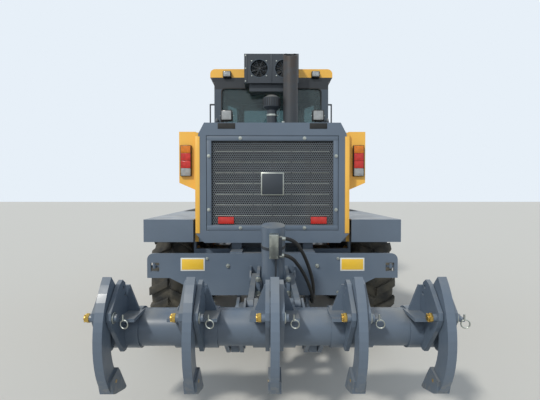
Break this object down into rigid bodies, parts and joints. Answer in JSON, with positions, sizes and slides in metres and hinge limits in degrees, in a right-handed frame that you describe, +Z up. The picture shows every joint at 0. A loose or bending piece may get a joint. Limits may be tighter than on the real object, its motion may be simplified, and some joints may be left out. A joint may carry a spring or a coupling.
{
  "type": "motor grader",
  "caption": "Articulated motor grader with a cab, a circle-mounted blade and a rear ripper.",
  "frame": {"origin": "on the ground, under the middle of the machine's overall box", "axes": "+Y forward, +X to the machine's right, +Z up"},
  "size_m": [3.66, 10.3835, 3.53],
  "materials": {
    "grey_paint": "satin",
    "yellow_paint": "gloss",
    "dark_paint": "satin",
    "tyre": "matte",
    "cylinder_steel": "polished",
    "glass": "clear",
    "lens": "gloss",
    "black_plastic": "matte",
    "hose_rubber": "matte",
    "engine_iron": "matte"
  },
  "bodies": {
    "chassis": {"rear_frame": "grey_paint", "axle_housing": "grey_paint", "tandem_cases": "grey_paint", "engine_block": "engine_iron", "engine_hood": "grey_paint", "rear_grille": "dark_paint", "side_panels": "yellow_paint", "lamps": "lens", "fenders": "grey_paint", "bumper_plate": "grey_paint", "exhaust_stack": "dark_paint", "air_precleaner": "black_plastic", "cab_base": "yellow_paint", "cab_frame": "dark_paint", "cab_glass": "glass", "cab_roof": "yellow_paint", "air_conditioner": "black_plastic", "seat": "black_plastic", "steering_console": "black_plastic", "mirrors": "black_plastic", "steps": "grey_paint", "ripper_hoses": "hose_rubber"},
    "wheel_rear_left": {"tyre_rear_left": "tyre", "rim_rear_left": "yellow_paint"},
    "wheel_rear_right": {"tyre_rear_right": "tyre", "rim_rear_right": "yellow_paint"},
    "wheel_mid_left": {"tyre_mid_left": "tyre", "rim_mid_left": "yellow_paint"},
    "wheel_mid_right": {"tyre_mid_right": "tyre", "rim_mid_right": "yellow_paint"},
    "front_frame": {"front_frame": "yellow_paint", "front_axle": "yellow_paint"},
    "knuckle_right": {"knuckle_right": "grey_paint"},
    "wheel_front_right": {"tyre_front_right": "tyre", "rim_front_right": "yellow_paint"},
    "knuckle_left": {"knuckle_left": "grey_paint"},
    "wheel_front_left": {"tyre_front_left": "tyre", "rim_front_left": "yellow_paint"},
    "tie_rod": {"tie_rod": "cylinder_steel"},
    "drawbar": {"drawbar": "dark_paint"},
    "lift_barrels": {"lift_barrels": "yellow_paint"},
    "lift_rods": {"lift_rods": "cylinder_steel"},
    "turning_circle": {"turning_circle": "dark_paint"},
    "blade_bracket": {"blade_bracket": "dark_paint"},
    "tip_barrel": {"tip_barrel": "dark_paint"},
    "tip_rod": {"tip_rod": "cylinder_steel"},
    "blade": {"blade": "dark_paint"},
    "ripper_lower_link": {"ripper_lower_link": "grey_paint"},
    "ripper_upper_links": {"ripper_upper_links": "grey_paint"},
    "ripper_carriage": {"ripper_beam": "grey_paint", "ripper_shanks": "grey_paint"},
    "ripper_barrel": {"ripper_barrel": "grey_paint"},
    "ripper_rod": {"ripper_rod": "cylinder_steel"},
    "cab_door_left": {"cab_door_left": "dark_paint", "door_glass_left": "glass"},
    "hood_door_left": {"hood_door_left": "yellow_paint"},
    "cab_door_right": {"cab_door_right": "dark_paint", "door_glass_right": "glass"},
    "hood_door_right": {"hood_door_right": "yellow_paint"}
  },
  "joints": [
    {"name": "wheel_rear_left_spin", "type": "hinge", "parent": "chassis", "child": "wheel_rear_left", "pos_m": [-1.09, -2.731, 0.674], "axis": [1, 0, 0], "continuous": true},
    {"name": "wheel_rear_right_spin", "type": "hinge", "parent": "chassis", "child": "wheel_rear_right", "pos_m": [1.09, -2.731, 0.674], "axis": [1, 0, 0], "continuous": true},
    {"name": "wheel_mid_left_spin", "type": "hinge", "parent": "chassis", "child": "wheel_mid_left", "pos_m": [-1.09, -1.193, 0.674], "axis": [1, 0, 0], "continuous": true},
    {"name": "wheel_mid_right_spin", "type": "hinge", "parent": "chassis", "child": "wheel_mid_right", "pos_m": [1.09, -1.193, 0.674], "axis": [1, 0, 0], "continuous": true},
    {"name": "articulation", "type": "hinge", "parent": "chassis", "child": "front_frame", "pos_m": [0, 0.018, 1.09], "axis": [0, 0, 1], "range_deg": [-25, 25]},
    {"name": "steering", "type": "hinge", "parent": "front_frame", "child": "knuckle_right", "pos_m": [0.8, 4.518, 0.674], "axis": [0, 0, 1], "range_deg": [-45, 45]},
    {"name": "wheel_front_right_spin", "type": "hinge", "parent": "knuckle_right", "child": "wheel_front_right", "pos_m": [1.09, 4.518, 0.674], "axis": [1, 0, 0], "continuous": true},
    {"name": "steering_left", "type": "hinge", "parent": "front_frame", "child": "knuckle_left", "pos_m": [-0.8, 4.518, 0.674], "axis": [0, 0, 1], "range_deg": [-45, 45]},
    {"name": "wheel_front_left_spin", "type": "hinge", "parent": "knuckle_left", "child": "wheel_front_left", "pos_m": [-1.09, 4.518, 0.674], "axis": [1, 0, 0], "continuous": true},
    {"name": "tie_rod_swing", "type": "hinge", "parent": "knuckle_right", "child": "tie_rod", "pos_m": [0.8, 4.288, 0.558], "axis": [0, 0, 1], "range_deg": [-45.01, 45.01]},
    {"name": "drawbar_lift", "type": "hinge", "parent": "front_frame", "child": "drawbar", "pos_m": [0, 4.188, 0.85], "axis": [1, 0, 0], "range_deg": [-4.5, 19]},
    {"name": "lift_barrels_swing", "type": "hinge", "parent": "front_frame", "child": "lift_barrels", "pos_m": [0, 1.708, 1.99], "axis": [1, 0, 0], "range_deg": [-0.1877, 0.7601]},
    {"name": "lift_rods_slide", "type": "slide", "parent": "lift_barrels", "child": "lift_rods", "axis": [0, 0, -1], "range_m": [-0.1963, 0.8271]},
    {"name": "circle_turn", "type": "hinge", "parent": "drawbar", "child": "turning_circle", "pos_m": [0, 1.668, 0.95], "axis": [0, 0, 1], "continuous": true},
    {"name": "blade_tip", "type": "hinge", "parent": "turning_circle", "child": "blade_bracket", "pos_m": [0, 1.123, 0.4], "axis": [1, 0, 0], "range_deg": [-40, 5]},
    {"name": "tip_barrel_swing", "type": "hinge", "parent": "turning_circle", "child": "tip_barrel", "pos_m": [0, 0.828, 0.8], "axis": [1, 0, 0], "range_deg": [-7.95, 1]},
    {"name": "tip_rod_slide", "type": "slide", "parent": "tip_barrel", "child": "tip_rod", "axis": [0, 0.9927, -0.1203], "range_m": [-0.0305, 0.2404]},
    {"name": "blade_side_shift", "type": "slide", "parent": "blade_bracket", "child": "blade", "axis": [-1, 0, 0], "range_m": [-0.55, 0.55]},
    {"name": "ripper_lift", "type": "hinge", "parent": "chassis", "child": "ripper_lower_link", "pos_m": [0, -3.762, 0.56], "axis": [1, 0, 0], "range_deg": [-10, 48]},
    {"name": "ripper_upper_swing", "type": "hinge", "parent": "chassis", "child": "ripper_upper_links", "pos_m": [0, -3.762, 0.85], "axis": [1, 0, 0], "range_deg": [-10.01, 48.01]},
    {"name": "ripper_level", "type": "hinge", "parent": "ripper_lower_link", "child": "ripper_carriage", "pos_m": [0, -4.602, 0.54], "axis": [1, 0, 0], "range_deg": [-48.01, 10.01]},
    {"name": "ripper_barrel_swing", "type": "hinge", "parent": "chassis", "child": "ripper_barrel", "pos_m": [0, -4.122, 0.88], "axis": [1, 0, 0], "range_deg": [-1.96, 9.35], "deforming": ["ripper_hoses"]},
    {"name": "ripper_rod_slide", "type": "slide", "parent": "ripper_barrel", "child": "ripper_rod", "axis": [0, 0.1936, -0.9811], "range_m": [-0.047, 0.2238]},
    {"name": "cab_door_left_swing", "type": "hinge", "parent": "chassis", "child": "cab_door_left", "pos_m": [-0.812, -1.632, 2.35], "axis": [0, 0, 1], "range_deg": [0, 100]},
    {"name": "hood_door_left_swing", "type": "hinge", "parent": "chassis", "child": "hood_door_left", "pos_m": [-0.806, -2.086, 1.88], "axis": [0, 0, 1], "range_deg": [-95, 0]},
    {"name": "cab_door_right_swing", "type": "hinge", "parent": "chassis", "child": "cab_door_right", "pos_m": [0.812, -1.632, 2.35], "axis": [0, 0, 1], "range_deg": [-100, 0]},
    {"name": "hood_door_right_swing", "type": "hinge", "parent": "chassis", "child": "hood_door_right", "pos_m": [0.806, -2.086, 1.88], "axis": [0, 0, 1], "range_deg": [0, 95]}
  ],
  "couplings": [
    {"joint": "steering_left", "follows": "steering", "ratio": 1},
    {"joint": "tie_rod_swing", "follows": "steering", "ratio": -1},
    {"joint": "lift_barrels_swing", "follows": "drawbar_lift", "ratio": 0.039482},
    {"joint": "lift_rods_slide", "follows": "drawbar_lift", "m_per_rad": 2.4927},
    {"joint": "tip_barrel_swing", "follows": "blade_tip", "ratio": 0.19856},
    {"joint": "tip_rod_slide", "follows": "blade_tip", "m_per_rad": -0.34367},
    {"joint": "ripper_upper_swing", "follows": "ripper_lift", "ratio": 1},
    {"joint": "ripper_level", "follows": "ripper_lift", "ratio": -1},
    {"joint": "ripper_barrel_swing", "follows": "ripper_lift", "ratio": 0.19456},
    {"joint": "ripper_rod_slide", "follows": "ripper_lift", "m_per_rad": 0.26654}
  ]
}
